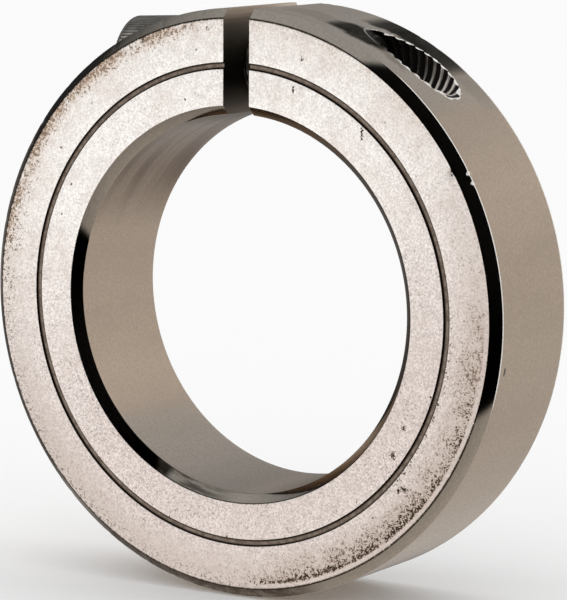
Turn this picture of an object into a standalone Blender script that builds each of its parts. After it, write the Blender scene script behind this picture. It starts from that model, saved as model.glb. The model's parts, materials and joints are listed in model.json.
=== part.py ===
"""One-piece clamping shaft collar: a slit ring and the socket head cap screw that closes it.

The frame has its origin on the bore's axis, halfway across the width. +Y runs along the bore,
away from the grooved front face, +Z runs up through the slit, and the screw points from its
head on the -X side to its tip on the +X side. All lengths are in metres.
"""

import math

import bmesh
import bpy
from mathutils import Matrix, Vector

INCH = 0.0254

# The ring: an inch-size blank with a metric bore.
BORE_RADIUS = 0.0225
OUTER_RADIUS = 2.75 / 2 * INCH
RING_WIDTH = 11 / 16 * INCH
OUTER_CHAMFER = 0.00115
BORE_CHAMFER = 0.00110
GROOVE_RADIUS = 0.02827
GROOVE_WIDTH = 0.00080
GROOVE_DEPTH = 0.00025
SLIT_WIDTH = 9 / 64 * INCH

# The screw: 5/16-24 by 1 inch, with a 1/4 inch hex socket.
THREAD_RADIUS = 5 / 32 * INCH
SCREW_LENGTH = 1.0 * INCH
HEAD_RADIUS = 0.469 / 2 * INCH
HEAD_HEIGHT = 5 / 16 * INCH
HEAD_CHAMFER = 0.00035
TIP_CHAMFER = 0.00080
SOCKET_ACROSS_FLATS = 1 / 4 * INCH
SOCKET_DEPTH = 0.00420
NECK_FILLET = 0.00035

# Where the screw crosses the slit's middle plane, its slope there, and where its head bears.
SCREW_HEIGHT = 0.02790
SCREW_TILT = math.radians(2.4)
HEAD_SEAT = -0.01145

# The screw's holes in the two jaws. The meshes keep a gap where the real surfaces touch.
TAPPED_RADIUS = THREAD_RADIUS + 0.00015
CLEARANCE_RADIUS = 21 / 128 * INCH
COUNTERBORE_RADIUS = HEAD_RADIUS + 0.00055
SEAT_GAP = 0.00030
CUT_REACH = 0.040

RING_SEGMENTS = 144
ROUND_SEGMENTS = 48
SHARP_ANGLE = math.radians(30)


def clear_scene():
    for thing in list(bpy.data.objects):
        bpy.data.objects.remove(thing, do_unlink=True)


def steel(name, colour, roughness):
    material = bpy.data.materials.new(name)
    material.use_nodes = True
    shader = material.node_tree.nodes["Principled BSDF"]
    shader.inputs["Base Color"].default_value = (*colour, 1.0)
    shader.inputs["Metallic"].default_value = 1.0
    shader.inputs["Roughness"].default_value = roughness
    material.diffuse_color = (*colour, 1.0)
    return material


def turned_mesh(name, profile, segments, closed):
    """Turns (radius, distance along Z) points about Z into one closed mesh.

    A closed profile makes a ring. An open one starts and ends on the axis.
    """
    shape = bmesh.new()
    rings = []
    for step in range(segments):
        angle = 2 * math.pi * step / segments
        direction = Vector((math.cos(angle), math.sin(angle), 0.0))
        rings.append([shape.verts.new(direction * radius + Vector((0, 0, z))) for radius, z in profile])
    last = len(profile) if closed else len(profile) - 1
    for step in range(segments):
        here, there = rings[step], rings[(step + 1) % segments]
        for point in range(last):
            after = (point + 1) % len(profile)
            shape.faces.new((here[point], there[point], there[after], here[after]))
    bmesh.ops.remove_doubles(shape, verts=shape.verts, dist=1e-7)
    bmesh.ops.recalc_face_normals(shape, faces=shape.faces)
    mesh = bpy.data.meshes.new(name)
    shape.to_mesh(mesh)
    shape.free()
    mesh.shade_smooth()
    mesh.set_sharp_from_angle(angle=SHARP_ANGLE)
    return mesh


def add_object(name, mesh, material=None, parent=None):
    thing = bpy.data.objects.new(name, mesh)
    bpy.context.scene.collection.objects.link(thing)
    if material is not None:
        mesh.materials.append(material)
    thing.parent = parent
    return thing


def add_cutter(name, mesh, target, parent=None):
    """Takes the mesh's shape out of the target, and stays hidden itself."""
    cutter = add_object(name, mesh, parent=parent)
    cutter.hide_render = True
    cutter.display_type = "WIRE"
    cut = target.modifiers.new(name, "BOOLEAN")
    cut.operation = "DIFFERENCE"
    cut.object = cutter
    return cutter


def cylinder_mesh(name, radius, low, high, segments=ROUND_SEGMENTS):
    """A plain round or many-sided bar along Z, from low to high."""
    profile = [(0.0, low), (radius, low), (radius, high), (0.0, high)]
    return turned_mesh(name, profile, segments, closed=False)


def box_mesh(name, low, high):
    shape = bmesh.new()
    bmesh.ops.create_cube(shape, size=1.0)
    for vertex in shape.verts:
        vertex.co = Vector([b if c > 0 else a for a, b, c in zip(low, high, vertex.co)])
    mesh = bpy.data.meshes.new(name)
    shape.to_mesh(mesh)
    shape.free()
    return mesh


def ring_profile():
    """The ring's section as (radius, distance behind the middle plane), front face first."""
    front = -RING_WIDTH / 2
    back = RING_WIDTH / 2
    groove_outer = GROOVE_RADIUS + GROOVE_WIDTH / 2
    groove_inner = GROOVE_RADIUS - GROOVE_WIDTH / 2
    groove_floor = front + GROOVE_DEPTH
    groove_slope = GROOVE_DEPTH / 4
    return [
        (BORE_RADIUS, front + BORE_CHAMFER),
        (BORE_RADIUS + BORE_CHAMFER, front),
        (groove_inner, front),
        (groove_inner + groove_slope, groove_floor),
        (groove_outer - groove_slope, groove_floor),
        (groove_outer, front),
        (OUTER_RADIUS - OUTER_CHAMFER, front),
        (OUTER_RADIUS, front + OUTER_CHAMFER),
        (OUTER_RADIUS, back - OUTER_CHAMFER),
        (OUTER_RADIUS - OUTER_CHAMFER, back),
        (BORE_RADIUS + BORE_CHAMFER, back),
        (BORE_RADIUS, back - BORE_CHAMFER),
    ]


def screw_profile():
    """The screw's outline along its axis, from the head's end to the tip."""
    head_end = HEAD_SEAT - HEAD_HEIGHT
    tip = HEAD_SEAT + SCREW_LENGTH
    return [
        (0.0, head_end),
        (HEAD_RADIUS - HEAD_CHAMFER, head_end),
        (HEAD_RADIUS, head_end + HEAD_CHAMFER),
        (HEAD_RADIUS, HEAD_SEAT - HEAD_CHAMFER / 3),
        (HEAD_RADIUS - HEAD_CHAMFER / 3, HEAD_SEAT),
        (THREAD_RADIUS + NECK_FILLET, HEAD_SEAT),
        (THREAD_RADIUS, HEAD_SEAT + NECK_FILLET),
        (THREAD_RADIUS, tip - TIP_CHAMFER),
        (THREAD_RADIUS - TIP_CHAMFER, tip),
        (0.0, tip),
    ]


def screw_axis():
    """An empty on the screw's axis at the slit, whose Z runs from the head to the tip."""
    axis = bpy.data.objects.new("screw_axis", None)
    bpy.context.scene.collection.objects.link(axis)
    direction = Vector((math.cos(SCREW_TILT), 0.0, math.sin(SCREW_TILT)))
    turn = direction.to_track_quat("Z", "Y").to_matrix().to_4x4()
    axis.matrix_world = Matrix.Translation((0.0, 0.0, SCREW_HEIGHT)) @ turn
    return axis


def make_ring(axis):
    """The ring with its slit, and the screw's holes through the two jaws."""
    mesh = turned_mesh("clamp_ring", ring_profile(), RING_SEGMENTS, closed=True)
    mesh.transform(Matrix.Rotation(-math.pi / 2, 4, "X"))
    ring = add_object("clamp_ring", mesh, steel("ring_steel", (0.62, 0.59, 0.56), 0.38))
    half_slit = SLIT_WIDTH / 2
    slit = box_mesh("slit_cut", (-half_slit, -RING_WIDTH, BORE_RADIUS / 2), (half_slit, RING_WIDTH, CUT_REACH))
    add_cutter("slit_cut", slit, ring)
    bores = (
        ("clearance_cut", CLEARANCE_RADIUS, HEAD_SEAT, 0.0),
        ("counterbore_cut", COUNTERBORE_RADIUS, -CUT_REACH, HEAD_SEAT + SEAT_GAP),
        ("tapped_cut", TAPPED_RADIUS, 0.0, CUT_REACH),
    )
    for name, radius, low, high in bores:
        add_cutter(name, cylinder_mesh(name, radius, low, high), ring, parent=axis)
    return ring


def make_screw(axis):
    """The cap screw, which turns about the empty that carries it."""
    mesh = turned_mesh("clamp_screw", screw_profile(), ROUND_SEGMENTS, closed=False)
    screw = add_object("clamp_screw", mesh, steel("screw_steel", (0.30, 0.29, 0.27), 0.42), parent=axis)
    corner_radius = SOCKET_ACROSS_FLATS / math.sqrt(3)
    head_end = HEAD_SEAT - HEAD_HEIGHT
    socket = cylinder_mesh("socket_cut", corner_radius, head_end - SOCKET_DEPTH, head_end + SOCKET_DEPTH, 6)
    add_cutter("socket_cut", socket, screw, parent=axis)
    return screw


clear_scene()
screw_line = screw_axis()
make_ring(screw_line)
make_screw(screw_line)
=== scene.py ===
"""The looks of the clamping shaft collar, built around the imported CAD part.

Both pieces are remade in fine mesh in the same places and sizes: the ring with its worn edges,
sawn slit and tapped hole, and the cap screw with its thread, knurled head and hexagon socket.
All lengths are in metres, in the part's frame: +Y along the bore, +Z up through the slit.
"""

import json
import math
from types import SimpleNamespace

import bpy
import numpy as np
from mathutils import Matrix, Vector


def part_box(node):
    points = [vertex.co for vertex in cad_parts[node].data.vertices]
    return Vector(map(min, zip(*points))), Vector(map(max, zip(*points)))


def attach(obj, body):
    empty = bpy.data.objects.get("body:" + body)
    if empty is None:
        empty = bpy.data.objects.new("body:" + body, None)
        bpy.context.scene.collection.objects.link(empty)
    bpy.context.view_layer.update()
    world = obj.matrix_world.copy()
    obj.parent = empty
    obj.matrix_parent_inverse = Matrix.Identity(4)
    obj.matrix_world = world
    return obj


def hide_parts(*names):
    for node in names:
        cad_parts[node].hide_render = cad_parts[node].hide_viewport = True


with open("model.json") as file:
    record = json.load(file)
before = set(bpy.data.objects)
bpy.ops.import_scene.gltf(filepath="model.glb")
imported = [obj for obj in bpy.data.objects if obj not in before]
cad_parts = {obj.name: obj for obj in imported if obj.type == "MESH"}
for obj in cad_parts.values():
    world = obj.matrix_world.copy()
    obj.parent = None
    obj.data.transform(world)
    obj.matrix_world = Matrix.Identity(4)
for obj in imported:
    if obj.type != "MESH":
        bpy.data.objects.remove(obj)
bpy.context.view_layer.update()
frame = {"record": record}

INCH = 0.0254
MM = 0.001
FULL_TURN = 2 * math.pi

# Sizes that the frame gives.
RING_LOW, RING_HIGH = (Vector(corner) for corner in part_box("clamp_ring"))
OUTER_RADIUS = RING_HIGH.x
HALF_WIDTH = RING_HIGH.y
FLOOR_HEIGHT = RING_LOW.z
SCREW_JOINT = frame["record"]["behaviour"]["joints"][0]
SCREW_ORIGIN = Vector(SCREW_JOINT["pos_m"])
SCREW_DIRECTION = Vector(SCREW_JOINT["axis"]).normalized()

# The ring, as the CAD has it.
BORE_RADIUS = 22.5 * MM
OUTER_CHAMFER = 1.15 * MM
BORE_CHAMFER = 1.10 * MM
GROOVE_RADIUS = 28.27 * MM
GROOVE_WIDTH = 0.80 * MM
GROOVE_DEPTH = 0.25 * MM
SLIT_WIDTH = 9 / 64 * INCH

# The radii of a flat face's two edges, and how far from the middle plane the outer chamfer starts.
INNER_EDGE = BORE_RADIUS + BORE_CHAMFER
OUTER_EDGE = OUTER_RADIUS - OUTER_CHAMFER
CHAMFER_START = HALF_WIDTH - OUTER_CHAMFER

# How round the ring's edges are, and the longest step along its section between two points.
BORE_ROUNDING = 0.10 * MM
GROOVE_ROUNDING = 0.05 * MM
GROOVE_FLOOR_ROUNDING = 0.06 * MM
FACE_ROUNDING = 0.14 * MM
FRONT_RIM_ROUNDING = 0.12 * MM
BACK_RIM_ROUNDING = 0.08 * MM
SECTION_STEP = 1.1 * MM

# Damage to the ring, each kind as an angle round it in degrees and then more. The nicks in the
# front edge have their size. The chip beside them has its size. The pit on the outside has its
# place along the bore and its size. The dark marks on the front face have their radius, their size,
# and how much narrower than it they are along X, Y and Z.
NICKS = ((29.7, 0.55 * MM), (27.6, 0.50 * MM))
CHIP = (31.3, 0.45 * MM)
PIT = (-8.6, -6.4 * MM, 0.62 * MM)
FACE_MARKS = (
    (-40.5, 30.1 * MM, 0.62 * MM, (0.7, 1.0, 1.5)),
    (-41.6, 29.7 * MM, 0.42 * MM, (1.6, 1.0, 0.8)),
    (-36.3, 26.6 * MM, 0.62 * MM, (1.3, 1.0, 0.9)),
    (-28.6, 26.0 * MM, 0.36 * MM, (1.2, 1.0, 1.0)),
    (73.2, 26.9 * MM, 0.50 * MM, (2.6, 1.0, 0.8)),
    (73.0, 30.7 * MM, 0.34 * MM, (1.0, 1.0, 1.2)),
    (112.9, 33.5 * MM, 0.50 * MM, (2.2, 1.0, 0.7)),
    (51.4, 27.2 * MM, 1.40 * MM, (7.0, 1.0, 1.0)),
    (31.3, 33.62 * MM, 0.45 * MM, (1.0, 1.0, 1.0)),
)
SMALL_DENTS = 60

# The screw, measured along its axis from the slit's middle plane. The crest's flat and the flank of
# its thread are parts of the pitch.
THREAD_RADIUS = 5 / 32 * INCH
THREAD_PITCH = INCH / 24
THREAD_DEPTH = THREAD_PITCH * math.sqrt(3) / 2 * 5 / 8
CREST_FLAT = 1 / 8
FLANK = 5 / 16
SCREW_LENGTH = 1.0 * INCH
HEAD_RADIUS = 0.469 / 2 * INCH
HEAD_HEIGHT = 5 / 16 * INCH
HEAD_CHAMFER = 0.35 * MM
HEAD_SEAT = -11.45 * MM
HEAD_END = HEAD_SEAT - HEAD_HEIGHT
SCREW_TIP = HEAD_SEAT + SCREW_LENGTH
NECK_FILLET = 0.35 * MM
TIP_CHAMFER = 0.80 * MM
PLAIN_NECK = 1.2 * MM
THREAD_RUNOUT = 1.0 * MM
KNURLS = 80
KNURL_DEPTH = 0.13 * MM
KNURL_RUNOUT = 0.3 * MM
SOCKET_ACROSS_FLATS = 1 / 4 * INCH
SOCKET_DEPTH = 4.2 * MM
SOCKET_LEAD_IN = 0.25 * MM
SOCKET_DRILL_RADIUS = 2.6 * MM
SOCKET_DRILL_POINT = 1.0 * MM

# The screw's holes. The tapped hole's thread is full beyond the screw's tip only.
CLEARANCE_RADIUS = 21 / 128 * INCH
COUNTERBORE_RADIUS = HEAD_RADIUS + 0.55 * MM
SEAT_GAP = 0.12 * MM
TAPPED_GAP = 0.03 * MM
TAPPED_DEPTH = 0.42 * MM
TAPPED_START = SCREW_TIP + 0.2 * MM
MINOR_RADIUS = THREAD_RADIUS - TAPPED_DEPTH

# How finely the curved surfaces are divided.
RING_SEGMENTS = 720
SCREW_SEGMENTS = 320
THREAD_SEGMENTS = 64
SOCKET_SEGMENTS = 48
THREAD_STEPS = 12
ROUNDING_STEPS = 4
SHARP_ANGLE = math.radians(32)

# The camera: its direction from the object, its distance and its long lens.
CAMERA_AZIMUTH = math.radians(31.57)
CAMERA_ELEVATION = math.radians(7.88)
CAMERA_ROLL = math.radians(0.24)
CAMERA_DISTANCE = 11.99 * OUTER_RADIUS
CAMERA_LENS = 210.0
CAMERA_SHIFT = (0.0152, -0.0041)

# Colours that several finishes share.
BARE_STEEL = (0.93, 0.90, 0.86)
# Black for painted shade and painted dark reflections.
PAINTED_SHADE_BLACK = (0.012, 0.010, 0.009)
EDGE_GRIME = (0.03, 0.024, 0.018)
PLAIN_WHITE = (1.0, 1.0, 1.0)


# ---------------------------------------------------------------- node helpers


def add_node(tree, kind, inputs=None, **settings):
    """Adds a shader node; an input is either a number, a tuple or another node's output."""
    node = tree.nodes.new(kind)
    for name, value in settings.items():
        setattr(node, name, value)
    for name, value in (inputs or {}).items():
        if isinstance(value, bpy.types.NodeSocket):
            tree.links.new(value, node.inputs[name])
        else:
            node.inputs[name].default_value = value
    return node


def calc(tree, operation, first, second=0.0):
    return add_node(tree, "ShaderNodeMath", {0: first, 1: second}, operation=operation).outputs[0]


def fold(tree, operation, values):
    """Applies a two-input operation to any number of values, from the first on."""
    total = values[0]
    for value in values[1:]:
        total = calc(tree, operation, total, value)
    return total


def times(tree, *values):
    return fold(tree, "MULTIPLY", values)


def plus(tree, *values):
    return fold(tree, "ADD", values)


def minus(tree, first, second):
    return calc(tree, "SUBTRACT", first, second)


def most(tree, *values):
    return fold(tree, "MAXIMUM", values)


def opposite(tree, value):
    return minus(tree, 1.0, value)


def off(tree, value, middle):
    """How far a value is from the middle, on either side."""
    return calc(tree, "ABSOLUTE", minus(tree, value, middle))


def vector_calc(tree, operation, first, second=(0.0, 0.0, 0.0)):
    return add_node(tree, "ShaderNodeVectorMath", {0: first, 1: second}, operation=operation).outputs


def dot(tree, vector, direction):
    return vector_calc(tree, "DOT_PRODUCT", vector, Vector(direction).normalized())["Value"]


def stretched(tree, vector, scale):
    return vector_calc(tree, "MULTIPLY", vector, scale)["Vector"]


def length(tree, vector):
    return vector_calc(tree, "LENGTH", vector)["Value"]


def remap(tree, value, low, high, new_low=0.0, new_high=1.0, smooth=True):
    """Maps low..high to new_low..new_high, clamped."""
    kind = "SMOOTHSTEP" if smooth else "LINEAR"
    names = {"Value": value, "From Min": low, "From Max": high, "To Min": new_low, "To Max": new_high}
    return add_node(tree, "ShaderNodeMapRange", names, interpolation_type=kind).outputs["Result"]


def falling(tree, value, low, high):
    """1 up to the low value, fading to 0 at the high one."""
    return opposite(tree, remap(tree, value, low, high))


def mix_colour(tree, factor, first, second, blend="MIX"):
    node = add_node(tree, "ShaderNodeMix", data_type="RGBA", blend_type=blend)
    for socket, value in ((node.inputs[0], factor), (node.inputs[6], first), (node.inputs[7], second)):
        if isinstance(value, bpy.types.NodeSocket):
            tree.links.new(value, socket)
        elif isinstance(value, tuple):
            socket.default_value = (*value, 1.0)
        else:
            socket.default_value = value
    return node.outputs[2]


def noise(tree, vector, scale, detail, roughness):
    names = {"Vector": vector, "Scale": scale, "Detail": detail, "Roughness": roughness}
    return add_node(tree, "ShaderNodeTexNoise", names).outputs["Fac"]


def new_metal(name, roughness):
    """A metal material, its tree, its shader and the object coordinates."""
    material = bpy.data.materials.new(name)
    material.use_nodes = True
    tree = material.node_tree
    shader = tree.nodes["Principled BSDF"]
    shader.inputs["Metallic"].default_value = 1.0
    shader.inputs["Roughness"].default_value = roughness
    place = add_node(tree, "ShaderNodeTexCoord").outputs["Object"]
    return material, tree, shader, place


def set_bump(tree, shader, height, distance, strength):
    bump = add_node(tree, "ShaderNodeBump", {"Height": height, "Distance": distance, "Strength": strength})
    tree.links.new(bump.outputs["Normal"], shader.inputs["Normal"])


# ---------------------------------------------------------------- places on the ring and the screw


def toward(degrees):
    """The direction at an angle round the bore, from +X towards +Z."""
    angle = math.radians(degrees)
    return (math.cos(angle), 0.0, math.sin(angle))


def ring_point(degrees, radius, station):
    point = Vector(toward(degrees)) * radius
    point.y = station
    return point


def separated(tree, place):
    return add_node(tree, "ShaderNodeSeparateXYZ", {"Vector": place}).outputs


def polar(tree, place):
    """The radius from the bore's axis, and the direction outwards from it."""
    flat = stretched(tree, place, (1.0, 0.0, 1.0))
    return length(tree, flat), vector_calc(tree, "NORMALIZE", flat)["Vector"]


def patch(tree, around, centre, fade, full):
    """1 within full degrees of an angle round the bore, fading to 0 at fade degrees."""
    nearness = dot(tree, around, toward(centre))
    return remap(tree, nearness, math.cos(math.radians(fade)), math.cos(math.radians(full)))


def outside_only(tree, radius):
    """1 towards the ring's outside and 0 towards its bore."""
    return remap(tree, radius, 30 * MM, 31 * MM)


def from_screw_axis(tree, place):
    """The distance from the screw's axis."""
    offset = vector_calc(tree, "SUBTRACT", place, SCREW_ORIGIN)["Vector"]
    return length(tree, vector_calc(tree, "CROSS_PRODUCT", offset, SCREW_DIRECTION)["Vector"])


def spot(tree, place, centre, size, texture, squash=(1.0, 1.0, 1.0), raggedness=1.4):
    """1 at a ragged spot of about the given size, fading out at its edge."""
    offset = vector_calc(tree, "SUBTRACT", place, centre)["Vector"]
    distance = length(tree, stretched(tree, offset, squash))
    ragged = times(tree, minus(tree, texture, 0.5), raggedness * size)
    return falling(tree, plus(tree, distance, ragged), 0.40 * size, 0.75 * size)


def near_nicks(tree, place, texture):
    """1 at the nicks on the front edge."""
    spots = []
    for degrees, size in NICKS:
        centre = ring_point(degrees, OUTER_RADIUS, -CHAMFER_START)
        spots.append(spot(tree, place, centre, size, texture))
    return most(tree, *spots)


def metal_where_clean(tree, scuffed):
    """Bare, torn metal scatters light, so it counts as less metallic and looks pale from every side."""
    return remap(tree, scuffed, 0.0, 1.0, 1.0, 0.25)


# ---------------------------------------------------------------- the faces' finish


def face_material():
    """The plated front and back faces: a fine grain, specks, and brown stains near the rim."""
    material, tree, shader, place = new_metal("collar_face", 0.42)
    radius, around = polar(tree, place)
    face = SimpleNamespace(
        place=place,
        radius=radius,
        around=around,
        upward=remap(tree, dot(tree, place, toward(105)), -0.5 * OUTER_RADIUS, 0.65 * OUTER_RADIUS),
        at_rim=remap(tree, radius, OUTER_EDGE - 2.3 * MM, OUTER_EDGE - 0.3 * MM),
        grain=noise(tree, place, 4200.0, 4.0, 0.75),
        fine=noise(tree, place, 4800.0, 2.0, 0.6),
        speckle=noise(tree, place, 2300.0, 3.0, 0.75),
        broad=noise(tree, place, 420.0, 3.0, 0.6),
    )
    face.patchy = remap(tree, face.broad, 0.36, 0.60, 0.15, 1.0)
    face.clumps = plus(tree, times(tree, face.fine, 0.45), times(tree, face.speckle, 0.55))

    colour = plating_colour(tree, face)
    colour, pepper = add_brown_haze(tree, face, colour)
    colour, rusty = add_rust(tree, face, colour)
    colour = add_side_stains(tree, face, colour)
    specks = most(tree, pepper, dark_marks(tree, face))
    colour = mix_colour(tree, specks, colour, (0.060, 0.042, 0.028))
    colour = add_flecks(tree, face, colour)
    colour = mix_colour(tree, edge_line(tree, face), colour, (0.05, 0.04, 0.03))
    tree.links.new(colour, shader.inputs["Base Color"])
    dirty = most(tree, specks, rusty)
    tree.links.new(remap(tree, dirty, 0.0, 1.0, 0.42, 0.62), shader.inputs["Roughness"])
    set_bump(tree, shader, face.grain, 0.03 * MM, 0.7)
    return material


def plating_colour(tree, face):
    """The grainy plating: brown tint and painted shade low down, duller towards the rim, softly clouded.
    """
    low = mix_colour(tree, face.upward, (0.50, 0.487, 0.490), (0.565, 0.555, 0.553))
    high = mix_colour(tree, face.upward, (0.85, 0.842, 0.845), (0.80, 0.794, 0.792))
    colour = mix_colour(tree, remap(tree, face.grain, 0.36, 0.64), low, high)
    # Darker and browner low down: part a brown tint of the plating, part painted shade as if lit from
    # above.
    brown_darkening = mix_colour(tree, face.upward, (0.77, 0.715, 0.695), PLAIN_WHITE)
    colour = mix_colour(tree, 1.0, colour, brown_darkening, "MULTIPLY")
    outer_band = remap(tree, face.radius, 28.3 * MM, 32.5 * MM)
    duller = times(tree, outer_band, remap(tree, face.upward, 0.0, 1.0, 0.60, 0.16))
    colour = mix_colour(tree, duller, colour, (0.43, 0.38, 0.355))
    cloud = noise(tree, face.place, 160.0, 4.0, 0.6)
    colour = mix_colour(tree, remap(tree, cloud, 0.40, 0.75, 0.0, 0.30), colour, (0.50, 0.44, 0.41))
    blotches = noise(tree, face.place, 620.0, 4.0, 0.7)
    return mix_colour(tree, remap(tree, blotches, 0.46, 0.66, 0.0, 0.26), colour, (0.42, 0.36, 0.34))


def add_brown_haze(tree, face, colour):
    """The brown haze low on the right and the dark pepper in it, as a colour and a mask."""
    inside_rim = falling(tree, face.radius, OUTER_EDGE - 0.80 * MM, OUTER_EDGE - 0.45 * MM)
    ramp = remap(tree, face.radius, OUTER_EDGE - 3.3 * MM, OUTER_EDGE - 0.9 * MM, smooth=False)
    ridge = times(tree, inside_rim, ramp, ramp, patch(tree, face.around, -50, 42, 22))
    ridge = times(tree, ridge, remap(tree, face.broad, 0.34, 0.52, 0.50, 1.0))
    spread = times(tree, inside_rim, remap(tree, face.radius, 29.0 * MM, 32.5 * MM, 0.0, 0.62))
    spread = times(tree, spread, patch(tree, face.around, -38, 50, 26), face.patchy)
    soiled = most(tree, ridge, spread)
    haze = times(tree, soiled, remap(tree, face.clumps, 0.40, 0.56, 0.30, 0.90))
    colour = mix_colour(tree, haze, colour, (0.26, 0.178, 0.115))
    pepper = remap(tree, plus(tree, face.clumps, times(tree, soiled, 0.140)), 0.570, 0.625)
    pepper = times(tree, pepper, remap(tree, soiled, 0.0, 0.10))
    pepper = times(tree, pepper, remap(tree, ridge, 0.0, 0.5, 0.62, 1.0))
    return colour, pepper


def add_rust(tree, face, colour):
    """The tan rust round the upper left of the rim, as a colour and a mask."""
    x, _, z = separated(tree, face.place)
    turned = times(tree, calc(tree, "ARCTAN2", z, x), 70.0)
    outward = times(tree, face.radius, 1100.0)
    radial = add_node(tree, "ShaderNodeCombineXYZ", {"X": turned, "Y": outward}).outputs[0]
    streaks = noise(tree, radial, 1.0, 5.0, 0.75)
    rust = times(tree, face.at_rim, patch(tree, face.around, 138, 54, 26))
    rust = times(tree, rust, remap(tree, face.broad, 0.36, 0.58, 0.30, 1.0))
    wander = times(tree, minus(tree, streaks, 0.5), 0.5)
    rusty = plus(tree, face.clumps, wander, times(tree, rust, 0.15))
    rusty = times(tree, remap(tree, rusty, 0.56, 0.66), remap(tree, rust, 0.0, 0.15))
    colour = mix_colour(tree, times(tree, rust, 0.42), colour, (0.44, 0.315, 0.225))
    spotted = remap(tree, face.speckle, 0.40, 0.58)
    rust_colour = mix_colour(tree, spotted, (0.52, 0.36, 0.23), (0.18, 0.115, 0.072))
    return mix_colour(tree, times(tree, rusty, 0.72), colour, rust_colour), rusty


def add_side_stains(tree, face, colour):
    """The clotted dirt on the left and the faint brown tinge on the upper right."""
    clotted = remap(tree, face.radius, 29.8 * MM, 32.2 * MM)
    clotted = times(tree, clotted, patch(tree, face.around, 170, 24, 10))
    clotted = times(tree, clotted, remap(tree, face.clumps, 0.51, 0.58))
    clotted = times(tree, clotted, remap(tree, face.broad, 0.44, 0.56))
    colour = mix_colour(tree, times(tree, clotted, 0.85), colour, (0.150, 0.105, 0.075))
    tinged = times(tree, face.at_rim, patch(tree, face.around, 66, 34, 14), face.patchy)
    tinged = times(tree, tinged, remap(tree, face.fine, 0.46, 0.60), 0.60)
    return mix_colour(tree, tinged, colour, (0.36, 0.27, 0.19))


def dark_marks(tree, face):
    """A mask of the specks outside the groove and low on the left, and of each larger mark."""
    low_left = times(tree, face.at_rim, patch(tree, face.around, -138, 62, 38))
    low_left = times(tree, low_left, remap(tree, face.clumps, 0.53, 0.58), 0.7)
    by_groove = falling(tree, face.radius, 28.8 * MM, 29.6 * MM)
    by_groove = times(tree, by_groove, patch(tree, face.around, -20, 30, 14))
    by_groove = times(tree, by_groove, remap(tree, face.radius, 28.4 * MM, 28.7 * MM))
    by_groove = times(tree, by_groove, remap(tree, face.speckle, 0.56, 0.61))
    marks = most(tree, by_groove, low_left)
    for degrees, radius, size, squash in FACE_MARKS:
        centre = ring_point(degrees, radius, -HALF_WIDTH)
        mark = spot(tree, face.place, centre, size, face.fine, squash, raggedness=4.0)
        marks = most(tree, marks, mark)
    return marks


def add_flecks(tree, face, colour):
    """Small brown flecks, sparser high up, and a few darker pits."""
    flecks = remap(tree, noise(tree, face.place, 3500.0, 2.0, 0.6), 0.60, 0.65)
    sparse = remap(tree, noise(tree, face.place, 130.0, 3.0, 0.6), 0.38, 0.64, 0.20, 0.75)
    sparse = times(tree, sparse, remap(tree, face.upward, 0.0, 1.0, 1.0, 0.5))
    colour = mix_colour(tree, times(tree, flecks, sparse), colour, (0.21, 0.165, 0.135))
    pits = remap(tree, noise(tree, face.place, 1350.0, 0.0, 0.0), 0.83, 0.87)
    return mix_colour(tree, pits, colour, (0.12, 0.095, 0.08))


def edge_line(tree, face):
    """1 on the thin dark line at the face's outer edge, which is missing on the right."""
    line = remap(tree, face.radius, OUTER_EDGE - 0.20 * MM, OUTER_EDGE - 0.06 * MM)
    line = times(tree, line, remap(tree, face.speckle, 0.30, 0.50))
    return times(tree, line, opposite(tree, patch(tree, face.around, 22, 46, 38)))


# ---------------------------------------------------------------- the other finishes


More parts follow.
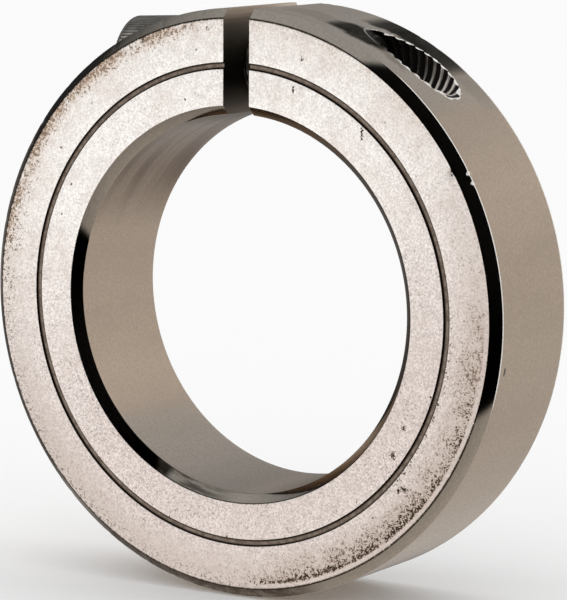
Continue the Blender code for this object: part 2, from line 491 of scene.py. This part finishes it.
def turned_material(name, roughness, tint):
    """The satin outside and bore: faint turning marks, soft clouds, and dirt by the screw's hole."""
    material, tree, shader, place = new_metal(name, roughness)
    radius, around = polar(tree, place)
    along = separated(tree, place)["Y"]
    outside = outside_only(tree, radius)
    marks = noise(tree, stretched(tree, place, (0.02, 1.0, 0.02)), 9000.0, 2.0, 0.5)
    cloud = noise(tree, stretched(tree, place, (1.0, 0.25, 1.0)), 120.0, 3.0, 0.5)
    fine = noise(tree, place, 3200.0, 3.0, 0.6)
    broad = noise(tree, stretched(tree, place, (1.0, 0.5, 1.0)), 260.0, 4.0, 0.65)
    darker = tuple(channel * 0.72 for channel in tint)
    colour = mix_colour(tree, remap(tree, cloud, 0.35, 0.75, 0.0, 0.50), tint, darker)
    colour = mix_colour(tree, remap(tree, marks, 0.40, 0.62, 0.0, 0.12), colour, darker)
    colour = mix_colour(tree, remap(tree, fine, 0.38, 0.62, 0.0, 0.55), colour, darker)

    grime = times(tree, hole_grime(tree, around, along, broad, fine), outside)
    mottle = plus(tree, times(tree, fine, 0.5), times(tree, broad, 0.5))
    dirt = mix_colour(tree, remap(tree, mottle, 0.40, 0.60), (0.002, 0.002, 0.001), (0.034, 0.033, 0.030))
    colour = mix_colour(tree, grime, colour, dirt)

    # Painted reflection: dark brown streaks high on the bore stand in for a dark streaky thing that it
    # reflects.
    circling = noise(tree, stretched(tree, place, (0.10, 1.0, 0.10)), 420.0, 3.0, 0.5)
    brown_darkening = times(tree, opposite(tree, outside), patch(tree, around, 118, 48, 14))
    brown_darkening = times(tree, brown_darkening, remap(tree, circling, 0.30, 0.66, 0.72, 1.0))
    colour = mix_colour(tree, brown_darkening, colour, (0.135, 0.085, 0.055))

    burr, ragged = hole_burr(tree, place, along, fine)
    burr = times(tree, burr, outside)
    from_middle = off(tree, along, 0.0)
    worn = remap(tree, from_middle, CHAMFER_START - 0.17 * MM, CHAMFER_START - 0.10 * MM)
    worn = times(tree, worn, outside, remap(tree, patch(tree, around, 19, 38, 29), 0.0, 1.0, 0.12, 0.95))
    texture = noise(tree, place, 2200.0, 2.0, 0.6)
    bare = most(tree, burr, worn, near_nicks(tree, place, texture))
    colour = mix_colour(tree, bare, colour, BARE_STEEL)

    degrees, station, size = PIT
    centre = ring_point(degrees, OUTER_RADIUS, station)
    pit = spot(tree, place, centre, size, texture, squash=(1.0, 1.7, 0.7))
    colour = mix_colour(tree, pit, colour, (0.02, 0.016, 0.012))
    tree.links.new(colour, shader.inputs["Base Color"])
    rough = remap(tree, fine, 0.3, 0.7, roughness - 0.04, roughness + 0.05)
    rough = plus(tree, rough, times(tree, most(tree, bare, grime), 0.30))
    tree.links.new(rough, shader.inputs["Roughness"])
    metal = times(tree, metal_where_clean(tree, bare), opposite(tree, most(tree, grime, pit)))
    tree.links.new(metal, shader.inputs["Metallic"])
    tree.links.new(remap(tree, grime, 0.0, 1.0, 0.5, 0.0), shader.inputs["Specular IOR Level"])
    height = plus(tree, times(tree, marks, 0.02), times(tree, burr, ragged, 2500.0))
    set_bump(tree, shader, height, 0.10 * MM, 0.5)
    return material


def hole_grime(tree, around, along, broad, fine):
    """Black dirt behind the tapped hole, fainter beyond it, and smudged from it towards the slit."""
    wander = times(tree, minus(tree, broad, 0.5), 5.0 * MM)
    shifted = plus(tree, along, wander)
    behind = times(tree, remap(tree, shifted, 2.0 * MM, 3.8 * MM), patch(tree, around, 62, 13, 6))
    behind = times(tree, behind, opposite(tree, remap(tree, along, 7.0 * MM, 8.4 * MM, 0.0, 0.40)))
    beyond = times(tree, remap(tree, shifted, 3.0 * MM, 5.0 * MM), patch(tree, around, 54, 15, 5), 0.26)
    near_hole = patch(tree, around, 67, 9, 3)
    near_slit = times(tree, patch(tree, around, 76, 12, 6), 0.32)
    smudge = falling(tree, off(tree, shifted, -2.9 * MM), 1.6 * MM, 3.9 * MM)
    smudge = times(tree, smudge, most(tree, near_hole, near_slit))
    smear = falling(tree, off(tree, shifted, -4.6 * MM), 0.2 * MM, 1.6 * MM)
    smear = times(tree, smear, patch(tree, around, 60, 8, 3), 0.40)
    clean = opposite(tree, most(tree, behind, beyond, smudge, smear))
    grime = opposite(tree, times(tree, clean, clean))
    return times(tree, grime, remap(tree, fine, 0.36, 0.58, 0.97, 1.0))


def hole_burr(tree, place, along, fine):
    """Torn metal behind the tapped hole and at its far end, and a thin lip in front of it.

    Gives where it is, and how far its ragged edge strays.
    """
    reach = from_screw_axis(tree, place)
    along_screw = dot(tree, place, SCREW_DIRECTION)
    torn = noise(tree, place, 1500.0, 3.0, 0.6)
    ragged = remap(tree, torn, 0.38, 0.64, -0.16 * MM, 0.14 * MM, smooth=False)
    at_exit = remap(tree, along_screw, 19.3 * MM, 21.0 * MM)
    ragged = plus(tree, ragged, times(tree, at_exit, 0.03 * MM))
    behind = remap(tree, along, 0.0, 0.8 * MM)
    burr = falling(tree, minus(tree, reach, ragged), THREAD_RADIUS, THREAD_RADIUS + 0.08 * MM)
    burr = times(tree, burr, most(tree, behind, at_exit), remap(tree, along_screw, 12.2 * MM, 13.4 * MM))
    burr = times(tree, burr, remap(tree, fine, 0.36, 0.52, 0.45, 1.0))
    lip = falling(tree, off(tree, reach, THREAD_RADIUS + 0.22 * MM), 0.03 * MM, 0.10 * MM)
    lip = times(tree, lip, opposite(tree, behind), falling(tree, along_screw, 16 * MM, 18 * MM), 0.22)
    return most(tree, burr, lip), ragged


def chamfer_material():
    """The bright turned chamfers, stained in places, with a dark line where each one meets its face."""
    roughness = 0.07
    material, tree, shader, place = new_metal("collar_chamfer", roughness)
    radius, around = polar(tree, place)
    outer = outside_only(tree, radius)
    inner = opposite(tree, outer)
    fine = noise(tree, place, 2600.0, 3.0, 0.6)
    streaks = noise(tree, place, 700.0, 4.0, 0.65)
    colour = mix_colour(tree, remap(tree, fine, 0.35, 0.65), (0.63, 0.55, 0.465), (0.56, 0.485, 0.41))

    low_left = times(tree, patch(tree, around, -158, 26, 14), 0.90)
    bottom = times(tree, patch(tree, around, -100, 32, 20), remap(tree, streaks, 0.30, 0.60, 0.45, 0.90))
    high_left = times(tree, patch(tree, around, 163, 16, 6), 0.5)
    grime = times(tree, most(tree, low_left, bottom, high_left), outer)
    colour = mix_colour(tree, grime, colour, (0.115, 0.070, 0.045))

    # Painted dark reflection: black at both ends of the dark that the bore's chamfer reflects, moving
    # where it starts.
    painted_dark_reflection = most(tree, patch(tree, around, -122, 9, 6), patch(tree, around, 169, 6, 4.5))
    colour = mix_colour(tree, times(tree, painted_dark_reflection, inner), colour, PAINTED_SHADE_BLACK)
    brown_darkening = times(tree, patch(tree, around, 25, 68, 50), inner, 0.92)
    colour = mix_colour(tree, brown_darkening, colour, (0.135, 0.10, 0.075))
    circling = noise(tree, stretched(tree, place, (0.30, 3.0, 0.30)), 900.0, 3.0, 0.6)
    dusky = times(tree, patch(tree, around, -118, 30, 12), inner)
    dusky = times(tree, dusky, remap(tree, circling, 0.36, 0.60, 0.25, 0.90))
    colour = mix_colour(tree, dusky, colour, (0.10, 0.08, 0.06))

    inner_line = remap(tree, radius, INNER_EDGE - 0.16 * MM, INNER_EDGE - 0.08 * MM)
    inner_line = times(tree, inner_line, inner, patch(tree, around, -95, 70, 45), 0.9)
    colour = mix_colour(tree, inner_line, colour, EDGE_GRIME)
    outer_line = falling(tree, radius, OUTER_EDGE + 0.04 * MM, OUTER_EDGE + 0.16 * MM)
    outer_line = times(tree, outer_line, outer, remap(tree, fine, 0.22, 0.42))
    colour = mix_colour(tree, outer_line, colour, EDGE_GRIME)
    nicks = near_nicks(tree, place, noise(tree, place, 2200.0, 2.0, 0.6))
    colour = mix_colour(tree, nicks, colour, BARE_STEEL)
    tree.links.new(colour, shader.inputs["Base Color"])
    tree.links.new(metal_where_clean(tree, nicks), shader.inputs["Metallic"])
    tree.links.new(remap(tree, grime, 0.0, 1.0, roughness, 0.35), shader.inputs["Roughness"])
    return material


def groove_material():
    """The turned groove: walls and corners darkened as painted shade and some dirt, and a dull floor."""
    material, tree, shader, place = new_metal("collar_groove", 0.34)
    along = separated(tree, place)["Y"]
    radius, _ = polar(tree, place)
    # Painted shade, with some dirt: all but the floor's middle takes the dark wall colour.
    deep = remap(tree, along, -HALF_WIDTH + 0.68 * GROOVE_DEPTH, -HALF_WIDTH + 0.97 * GROOVE_DEPTH)
    deep = times(tree, deep, falling(tree, off(tree, radius, GROOVE_RADIUS), 0.10 * MM, 0.22 * MM))
    cloud = noise(tree, place, 1400.0, 3.0, 0.6)
    floor = mix_colour(tree, remap(tree, cloud, 0.35, 0.65), (0.080, 0.064, 0.053), (0.150, 0.125, 0.107))
    tree.links.new(mix_colour(tree, deep, (0.050, 0.038, 0.030), floor), shader.inputs["Base Color"])
    return material


def sawn_material():
    """The slit's faces: coarse saw marks, painted light by the outside and bore, black painted shade
    between.
    """
    material, tree, shader, place = new_metal("collar_sawn", 0.42)
    height = separated(tree, place)["Z"]
    marks = noise(tree, stretched(tree, place, (1.0, 0.06, 1.0)), 2600.0, 2.0, 0.5)
    wander = plus(tree, height, times(tree, minus(tree, marks, 0.5), 1.2 * MM))
    # Painted light and shade: the faces are lit near the outside and the bore and black in between.
    top = remap(tree, wander, OUTER_RADIUS - 8.0 * MM, OUTER_RADIUS - 1.5 * MM, 0.0, 0.34)
    lip = remap(tree, wander, OUTER_RADIUS - 2.2 * MM, OUTER_RADIUS, 0.0, 0.50)
    low = falling(tree, wander, BORE_RADIUS, BORE_RADIUS + 4.5 * MM)
    painted_light = plus(tree, top, lip, times(tree, low, 0.22))
    # The pale colour is painted light; the near-black one is painted shade.
    colour = mix_colour(tree, painted_light, (0.030, 0.025, 0.020), (0.98, 0.86, 0.74))
    tree.links.new(colour, shader.inputs["Base Color"])
    set_bump(tree, shader, marks, 0.02 * MM, 0.5)
    return material


def thread_material():
    """The tapped and drilled holes: black valleys of painted shade, bright crests of painted highlight."""
    material, tree, shader, place = new_metal("collar_cut", 0.34)
    reach = from_screw_axis(tree, place)
    wander = times(tree, minus(tree, noise(tree, place, 1300.0, 3.0, 0.6), 0.5), 0.10 * MM)
    outward = remap(tree, dot(tree, place, SCREW_DIRECTION), 17.0 * MM, 22.0 * MM)
    # Painted highlight on the crests, wider and brighter towards the hole's outer end.
    crest_width = remap(tree, outward, 0.30, 1.0, 0.015 * MM, 0.13 * MM)
    from_crest = minus(tree, plus(tree, reach, wander), MINOR_RADIUS)
    # Painted shade: black everywhere deeper than the crests.
    painted_valley_shade = remap(tree, calc(tree, "DIVIDE", from_crest, crest_width), 0.2, 1.0)
    painted_crest_highlight = mix_colour(tree, outward, (0.16, 0.14, 0.12), (0.88, 0.79, 0.70))
    colour = mix_colour(tree, painted_valley_shade, painted_crest_highlight, (0.010, 0.008, 0.007))
    tree.links.new(colour, shader.inputs["Base Color"])
    tree.links.new(opposite(tree, painted_valley_shade), shader.inputs["Metallic"])
    shader.inputs["Specular IOR Level"].default_value = 0.15
    return material


def screw_material():
    """The cap screw: dark satin plating, clouded, with black painted shade in its knurling and towards its
    tip.
    """
    material, tree, shader, place = new_metal("screw_plating", 0.36)
    cloud = noise(tree, place, 700.0, 4.0, 0.6)
    colour = mix_colour(tree, remap(tree, cloud, 0.3, 0.7), (0.22, 0.205, 0.185), (0.34, 0.32, 0.29))
    along = dot(tree, place, SCREW_DIRECTION)
    # Painted shade: black past 9 to 12 mm along, where the screw lies in the dark of the tapped hole.
    painted_shade_inside = remap(tree, along, 9.0 * MM, 12.0 * MM)
    reach = from_screw_axis(tree, place)
    # Painted shade in the knurling's grooves.
    knurled = times(
        tree,
        remap(tree, reach, HEAD_RADIUS - 0.30 * MM, HEAD_RADIUS - 0.20 * MM),
        falling(tree, reach, HEAD_RADIUS - 0.9 * KNURL_DEPTH, HEAD_RADIUS - 0.3 * KNURL_DEPTH),
        remap(tree, along, HEAD_END + 0.4 * MM, HEAD_END + 0.6 * MM),
        falling(tree, along, HEAD_SEAT - 0.6 * MM, HEAD_SEAT - 0.4 * MM),
        0.45,
    )
    colour = mix_colour(tree, most(tree, painted_shade_inside, knurled), colour, PAINTED_SHADE_BLACK)
    tree.links.new(colour, shader.inputs["Base Color"])
    tree.links.new(opposite(tree, painted_shade_inside), shader.inputs["Metallic"])
    tree.links.new(remap(tree, painted_shade_inside, 0.0, 1.0, 0.5, 0.1), shader.inputs["Specular IOR Level"])
    tree.links.new(remap(tree, cloud, 0.3, 0.7, 0.30, 0.44), shader.inputs["Roughness"])
    return material


# ---------------------------------------------------------------- mesh helpers


def skin(name, grid, wrap_rows):
    """Closes a grid of points into a solid. Its columns run round; its rows wrap or are capped."""
    rows, columns = grid.shape[:2]
    index = np.arange(rows * columns).reshape(rows, columns)
    here = index if wrap_rows else index[:-1]
    ahead = np.roll(index, -1, axis=0) if wrap_rows else index[1:]
    corners = (here, np.roll(here, -1, axis=1), np.roll(ahead, -1, axis=1), ahead)
    faces = np.stack(corners, axis=-1).reshape(-1, 4).tolist()
    if not wrap_rows:
        faces.append(index[0][::-1].tolist())
        faces.append(index[-1].tolist())
    mesh = bpy.data.meshes.new(name)
    mesh.from_pydata(grid.reshape(-1, 3).tolist(), [], faces)
    mesh.update()
    if signed_volume(mesh) < 0:
        mesh.flip_normals()
    return mesh


def signed_volume(mesh):
    """A closed mesh's volume, negative where its faces point in."""
    mesh.calc_loop_triangles()
    points = np.array([vertex.co for vertex in mesh.vertices])
    triangles = np.array([triangle.vertices[:] for triangle in mesh.loop_triangles])
    a, b, c = (points[triangles[:, corner]] for corner in range(3))
    return float(np.einsum("ij,ij->i", a, np.cross(b, c)).sum() / 6)


def turned_grid(radii, stations, segments):
    """Points round Z: radii is one for all, one per station, or one per station and segment."""
    angles = np.arange(segments) * (FULL_TURN / segments)
    radii = np.broadcast_to(np.atleast_2d(np.asarray(radii).T).T, (len(stations), segments))
    grid = np.empty((len(stations), segments, 3))
    grid[..., 0] = radii * np.cos(angles)
    grid[..., 1] = radii * np.sin(angles)
    grid[..., 2] = np.asarray(stations)[:, None]
    return grid


def rounded_outline(corners):
    """Rounds each (across, along, radius) corner of a closed outline with an arc."""
    outline = []
    points = [Vector(corner[:2]) for corner in corners]
    for number, (point, corner) in enumerate(zip(points, corners)):
        before = (points[number - 1] - point).normalized()
        after = (points[(number + 1) % len(points)] - point).normalized()
        radius = corner[2]
        half = before.angle(after) / 2
        reach = radius / math.tan(half)
        centre = point + (before + after).normalized() * (radius / math.sin(half))
        start = point + before * reach - centre
        finish = point + after * reach - centre
        sweep = start.angle_signed(finish)
        for step in range(ROUNDING_STEPS + 1):
            turn = Matrix.Rotation(-sweep * step / ROUNDING_STEPS, 2)
            outline.append(centre + turn @ start)
    return outline


def add_object(name, mesh, materials):
    thing = bpy.data.objects.new(name, mesh)
    bpy.context.scene.collection.objects.link(thing)
    for material in materials:
        mesh.materials.append(material)
    return thing


def add_cutter(name, grid, finish, materials, placement=None):
    """A solid to take out of another, which leaves its finish on the cut."""
    mesh = skin(name, grid, wrap_rows=False)
    if placement is not None:
        mesh.transform(placement)
    mesh.polygons.foreach_set("material_index", [finish] * len(mesh.polygons))
    return add_object(name, mesh, materials)


def cut(target, cutters):
    """Takes each cutter out of the target for good and removes the cutters."""
    for cutter in cutters:
        modifier = target.modifiers.new("cut", "BOOLEAN")
        modifier.operation = "DIFFERENCE"
        modifier.object = cutter
    bpy.context.view_layer.update()
    evaluated = target.evaluated_get(bpy.context.evaluated_depsgraph_get())
    finished = bpy.data.meshes.new_from_object(evaluated)
    target.modifiers.clear()
    target.data = finished
    for cutter in cutters:
        bpy.data.objects.remove(cutter, do_unlink=True)


def finish_surface(thing):
    """Smooth shading that keeps real edges and flat faces crisp."""
    thing.data.shade_smooth()
    thing.data.set_sharp_from_angle(angle=SHARP_ANGLE)
    weighted = thing.modifiers.new("weighted", "WEIGHTED_NORMAL")
    weighted.keep_sharp = True
    weighted.weight = 100


def screw_placement():
    """Takes Z to the screw's axis, from the head to the tip."""
    turn = SCREW_DIRECTION.to_track_quat("Z", "Y").to_matrix().to_4x4()
    return Matrix.Translation(SCREW_ORIGIN) @ turn


def thread_wave(stations, segments):
    """1 on the crest of a right-hand 60 degree thread and 0 on its root, over a grid."""
    turns = np.asarray(stations)[:, None] / THREAD_PITCH - np.arange(segments)[None, :] / segments
    from_crest = 0.5 - np.abs((turns % 1.0) - 0.5)
    return np.clip(1 - (from_crest - CREST_FLAT / 2) / FLANK, 0, 1)


# ---------------------------------------------------------------- the ring

FACE, TURNED, BORE, CHAMFER, GROOVE, SAWN, CUT = range(7)


def ring_outline():
    """The ring's section as (radius, place along the bore), rounded at its edges, with finish numbers."""
    front, back = -HALF_WIDTH, HALF_WIDTH
    groove_inner = GROOVE_RADIUS - GROOVE_WIDTH / 2
    groove_outer = GROOVE_RADIUS + GROOVE_WIDTH / 2
    groove_floor = front + GROOVE_DEPTH
    slope = GROOVE_DEPTH / 2
    corners = [
        (BORE_RADIUS, front + BORE_CHAMFER, BORE_ROUNDING, CHAMFER),
        (INNER_EDGE, front, BORE_ROUNDING, FACE),
        (groove_inner, front, GROOVE_ROUNDING, GROOVE),
        (groove_inner + slope, groove_floor, GROOVE_FLOOR_ROUNDING, GROOVE),
        (groove_outer - slope, groove_floor, GROOVE_FLOOR_ROUNDING, GROOVE),
        (groove_outer, front, GROOVE_ROUNDING, FACE),
        (OUTER_EDGE, front, FACE_ROUNDING, CHAMFER),
        (OUTER_RADIUS, front + OUTER_CHAMFER, FRONT_RIM_ROUNDING, TURNED),
        (OUTER_RADIUS, back - OUTER_CHAMFER, BACK_RIM_ROUNDING, CHAMFER),
        (OUTER_EDGE, back, FACE_ROUNDING, FACE),
        (INNER_EDGE, back, BORE_ROUNDING, CHAMFER),
        (BORE_RADIUS, back - BORE_CHAMFER, BORE_ROUNDING, BORE),
    ]
    rounded = rounded_outline([corner[:3] for corner in corners])
    points, finishes = [], []
    for number, point in enumerate(rounded):
        finish = corners[number // (ROUNDING_STEPS + 1)][3]
        points.append(point)
        finishes.append(finish)
        after = rounded[(number + 1) % len(rounded)]
        pieces = max(1, round((after - point).length / SECTION_STEP))
        for piece in range(1, pieces):
            points.append(point.lerp(after, piece / pieces))
            finishes.append(finish)
    return points, finishes


def make_ring(materials):
    outline, finishes = ring_outline()
    radii = np.array([point.x for point in outline])
    stations = np.array([point.y for point in outline])
    grid = turned_grid(radii, stations, RING_SEGMENTS)
    grid = np.stack([grid[..., 0], grid[..., 2], grid[..., 1]], axis=-1)
    wear_edges(grid, radii, stations)
    mesh = skin("shaft_collar_ring", grid, wrap_rows=True)
    mesh.polygons.foreach_set("material_index", np.repeat(finishes, RING_SEGMENTS))
    ring = add_object("shaft_collar_ring", mesh, materials)
    cut(ring, [slit_cutter(materials), *screw_hole_cutters(materials)])
    finish_surface(ring)
    return ring


def edge_damage():
    """Each dent in the outer edges: its angle, size and depth, and the edge's radius and station."""
    random = np.random.RandomState(11)
    front, back = -CHAMFER_START, CHAMFER_START
    dents = []
    for degrees, size in NICKS:
        dents.append((math.radians(degrees), 0.6 * size, 0.3 * size, OUTER_RADIUS, front))
    degrees, size = CHIP
    dents.append((math.radians(degrees), size, 0.35 * size, OUTER_EDGE, -HALF_WIDTH))
    for _ in range(SMALL_DENTS):
        edge = front if random.rand() < 0.5 else back
        size = random.uniform(0.20, 0.40) * MM
        angle, depth = random.uniform(0, FULL_TURN), random.uniform(0.01, 0.035) * MM
        in_bare_arc = math.cos(angle - math.radians(15)) > math.cos(math.radians(48))
        if edge == back or not in_bare_arc:
            dents.append((angle, size, depth, OUTER_RADIUS, edge))
    return dents


def wear_edges(grid, radii, stations):
    """Pushes the ring's points in at each dent."""
    angles = np.arange(RING_SEGMENTS) * (FULL_TURN / RING_SEGMENTS)
    for angle, size, depth, edge_radius, edge in edge_damage():
        turned = (angles - angle + math.pi) % FULL_TURN - math.pi
        along = np.exp(-((turned * OUTER_RADIUS / size) ** 2))
        distance = np.hypot(radii - edge_radius, stations - edge)
        across = np.exp(-((distance / (0.7 * size)) ** 2))
        push = depth * across[:, None] * along[None, :]
        grid[..., 0] -= push * np.cos(angles)
        grid[..., 2] -= push * np.sin(angles)
        grid[..., 1] -= push * math.copysign(1.0, edge)


def slit_cutter(materials):
    half = SLIT_WIDTH / 2
    low, high = BORE_RADIUS / 2, OUTER_RADIUS * 1.2
    reach = HALF_WIDTH * 1.5
    corners = ((-half, -reach), (half, -reach), (half, reach), (-half, reach))
    grid = np.array([[(x, y, z) for x, y in corners] for z in (low, high)])
    return add_cutter("slit_cut", grid, SAWN, materials)


def screw_hole_cutters(materials):
    """The head's counterbore and clearance hole, and the tapped hole with its thread beyond the tip."""
    far = OUTER_RADIUS
    stations = np.arange(SCREW_TIP, far * 0.78, THREAD_PITCH / THREAD_STEPS)
    threaded = THREAD_RADIUS - TAPPED_DEPTH * (1 - thread_wave(stations, THREAD_SEGMENTS))
    holes = (
        ("clearance_cut", CLEARANCE_RADIUS, (HEAD_SEAT, 0.0), THREAD_SEGMENTS),
        ("counterbore_cut", COUNTERBORE_RADIUS, (-far, HEAD_SEAT + SEAT_GAP), 2 * THREAD_SEGMENTS),
        ("relief_cut", THREAD_RADIUS + TAPPED_GAP, (0.0, TAPPED_START), THREAD_SEGMENTS),
        ("thread_cut", threaded, stations, THREAD_SEGMENTS),
    )
    cutters = []
    for name, radii, places, segments in holes:
        grid = turned_grid(radii, places, segments)
        cutters.append(add_cutter(name, grid, CUT, materials, screw_placement()))
    return cutters


# ---------------------------------------------------------------- the screw


def screw_radii(stations):
    """The screw's radius at each place along it and round it, thread and knurling included."""
    across = np.arange(SCREW_SEGMENTS) / SCREW_SEGMENTS
    ridge = np.abs((across * KNURLS) % 1.0 - 0.5) * 2
    wave = thread_wave(stations, SCREW_SEGMENTS)
    radii = np.empty((len(stations), SCREW_SEGMENTS))
    for row, place in enumerate(stations):
        if place <= HEAD_SEAT + 1e-9:
            from_end = min(place - HEAD_END, HEAD_SEAT - place)
            chamfer = max(0.0, HEAD_CHAMFER - (place - HEAD_END))
            knurled = min(1.0, max(0.0, (from_end - HEAD_CHAMFER) / KNURL_RUNOUT))
            radii[row] = HEAD_RADIUS - chamfer - KNURL_DEPTH * knurled * ridge
        else:
            neck = max(0.0, NECK_FILLET - (place - HEAD_SEAT)) ** 2 / NECK_FILLET
            tip = max(0.0, TIP_CHAMFER - (SCREW_TIP - place))
            threaded = min(1.0, max(0.0, (place - HEAD_SEAT - PLAIN_NECK) / THREAD_RUNOUT))
            core = THREAD_RADIUS - THREAD_DEPTH * (1 - wave[row]) * threaded
            radii[row] = np.minimum(core, THREAD_RADIUS - tip) + neck
    return radii


def screw_stations():
    """The places along the screw where its outline has points, closest together on its thread."""
    head = [HEAD_END, HEAD_END + HEAD_CHAMFER, HEAD_END + 0.5 * MM, HEAD_END + 0.7 * MM]
    head += list(np.linspace(HEAD_END + 1.4 * MM, HEAD_SEAT - 0.7 * MM, 8))
    head += [HEAD_SEAT - 0.5 * MM, HEAD_SEAT - HEAD_CHAMFER, HEAD_SEAT]
    shank = list(np.arange(HEAD_SEAT + 0.01 * MM, SCREW_TIP, THREAD_PITCH / THREAD_STEPS))
    return np.array([*head, *shank, SCREW_TIP])


def socket_cutters(material):
    """The hexagon socket, the lead-in at its mouth and the drill's point at its bottom."""
    corner_radius = SOCKET_ACROSS_FLATS / math.sqrt(3)
    floor = HEAD_END + SOCKET_DEPTH
    above, below = 1 * MM, 2 * MM
    mouth_radii = [corner_radius + above + SOCKET_LEAD_IN, corner_radius - below]
    mouth_stations = [HEAD_END - above, HEAD_END + below + SOCKET_LEAD_IN]
    drill_radii = [SOCKET_DRILL_RADIUS, SOCKET_DRILL_RADIUS, 0.05 * MM]
    drill_start = floor - 0.1 * MM
    drill_stations = [floor - 1 * MM, drill_start, drill_start + SOCKET_DRILL_POINT]
    shapes = (
        ("hexagon_cut", corner_radius, [HEAD_END - above, floor], 6),
        ("mouth_cut", mouth_radii, mouth_stations, 2 * THREAD_SEGMENTS),
        ("drill_cut", drill_radii, drill_stations, SOCKET_SEGMENTS),
    )
    return [add_cutter(name, turned_grid(radii, stations, segments), 0, [material])
            for name, radii, stations, segments in shapes]


def make_screw(material):
    stations = screw_stations()
    grid = turned_grid(screw_radii(stations), stations, SCREW_SEGMENTS)
    screw = add_object("collar_clamp_screw", skin("collar_clamp_screw", grid, wrap_rows=False), [material])
    cut(screw, socket_cutters(material))
    screw.data.transform(screw_placement())
    finish_surface(screw)
    return screw


# ---------------------------------------------------------------- stage, light and camera


def make_floor():
    half = 3.0
    corners = [(-half, -half), (half, -half), (half, half), (-half, half)]
    mesh = bpy.data.meshes.new("floor")
    mesh.from_pydata([(x, y, FLOOR_HEIGHT) for x, y in corners], [], [(0, 1, 2, 3)])
    material = bpy.data.materials.new("floor")
    material.use_nodes = True
    shader = material.node_tree.nodes["Principled BSDF"]
    shader.inputs["Base Color"].default_value = (0.96, 0.96, 0.96, 1.0)
    shader.inputs["Roughness"].default_value = 1.0
    shader.inputs["Specular IOR Level"].default_value = 0.0
    floor = add_object("floor", mesh, [material])
    floor.visible_glossy = False


def make_world():
    """A white studio. Metal sees its softboxes and its dark corners; the floor sees plain white."""
    world = bpy.data.worlds.new("studio")
    world.use_nodes = True
    bpy.context.scene.world = world
    tree = world.node_tree
    direction = add_node(tree, "ShaderNodeTexCoord").outputs["Generated"]

    def glow(axis, low, high, dark, bright, smooth=True):
        return remap(tree, dot(tree, direction, axis), low, high, dark, bright, smooth)

    level = plus(
        tree,
        glow((0.5, 0.7, -0.5), -0.1, 0.75, 0.12, 0.585, smooth=False),
        glow((0.06, 0.844, 0.53), 0.80, 0.97, 0.0, 0.125),
        glow((0.67, 0.33, 0.66), 0.80, 0.97, 0.0, 0.32),
        glow((-0.1, -0.1, 0.99), 0.50, 0.95, 0.0, 0.35),
    )
    shade = times(
        tree,
        glow((0.72, -0.60, 0.34), 0.575, 0.625, 1.0, 0.001),
        glow((-0.92, 0.30, 0.24), 0.955, 0.99, 1.0, 0.20),
        glow((-0.519, 0.844, -0.137), 0.965, 0.99, 1.0, 0.45),
    )
    softbox = glow((-0.52, -0.80, -0.30), 0.62, 0.93, 0.0, 1.6)
    level = plus(tree, times(tree, level, shade), softbox)
    cool = glow((-0.35, 0.0, 0.94), 0.40, 0.43, 0.0, 1.0)
    colour = mix_colour(tree, cool, (1.0, 0.96, 0.91), (0.93, 0.97, 1.0))
    studio = add_node(tree, "ShaderNodeBackground", {"Color": colour, "Strength": level})
    plain = add_node(tree, "ShaderNodeBackground", {"Color": (*PLAIN_WHITE, 1.0), "Strength": 1.0})
    reflected = add_node(tree, "ShaderNodeLightPath").outputs["Is Glossy Ray"]
    mix = add_node(tree, "ShaderNodeMixShader", {0: reflected, 1: plain.outputs[0], 2: studio.outputs[0]})
    tree.links.new(mix.outputs[0], tree.nodes["World Output"].inputs["Surface"])


def make_camera():
    sine, cosine = math.sin(CAMERA_AZIMUTH), math.cos(CAMERA_AZIMUTH)
    flat = math.cos(CAMERA_ELEVATION)
    back = Vector((sine * flat, -cosine * flat, math.sin(CAMERA_ELEVATION)))
    right = Vector((cosine, sine, 0.0))
    up = back.cross(right)
    upright = Matrix((right, up, back)).transposed().to_4x4()
    roll = Matrix.Rotation(CAMERA_ROLL, 4, "Z")
    data = bpy.data.cameras.new("camera")
    data.lens = CAMERA_LENS
    data.sensor_width = 36.0
    data.shift_x, data.shift_y = CAMERA_SHIFT
    data.clip_start, data.clip_end = 0.01, 20.0
    camera = bpy.data.objects.new("camera", data)
    bpy.context.scene.collection.objects.link(camera)
    camera.matrix_world = Matrix.Translation(back * CAMERA_DISTANCE) @ upright @ roll
    bpy.context.scene.camera = camera


make_camera()
make_floor()
make_world()
bpy.context.scene.view_settings.view_transform = "Standard"

ring = make_ring([
    face_material(),
    turned_material("collar_outside", 0.20, (0.66, 0.55, 0.45)),
    turned_material("collar_bore", 0.22, (0.70, 0.58, 0.475)),
    chamfer_material(),
    groove_material(),
    sawn_material(),
    thread_material(),
])
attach(ring, "ring")
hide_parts("clamp_ring")

screw = make_screw(screw_material())
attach(screw, "screw")
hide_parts("clamp_screw")
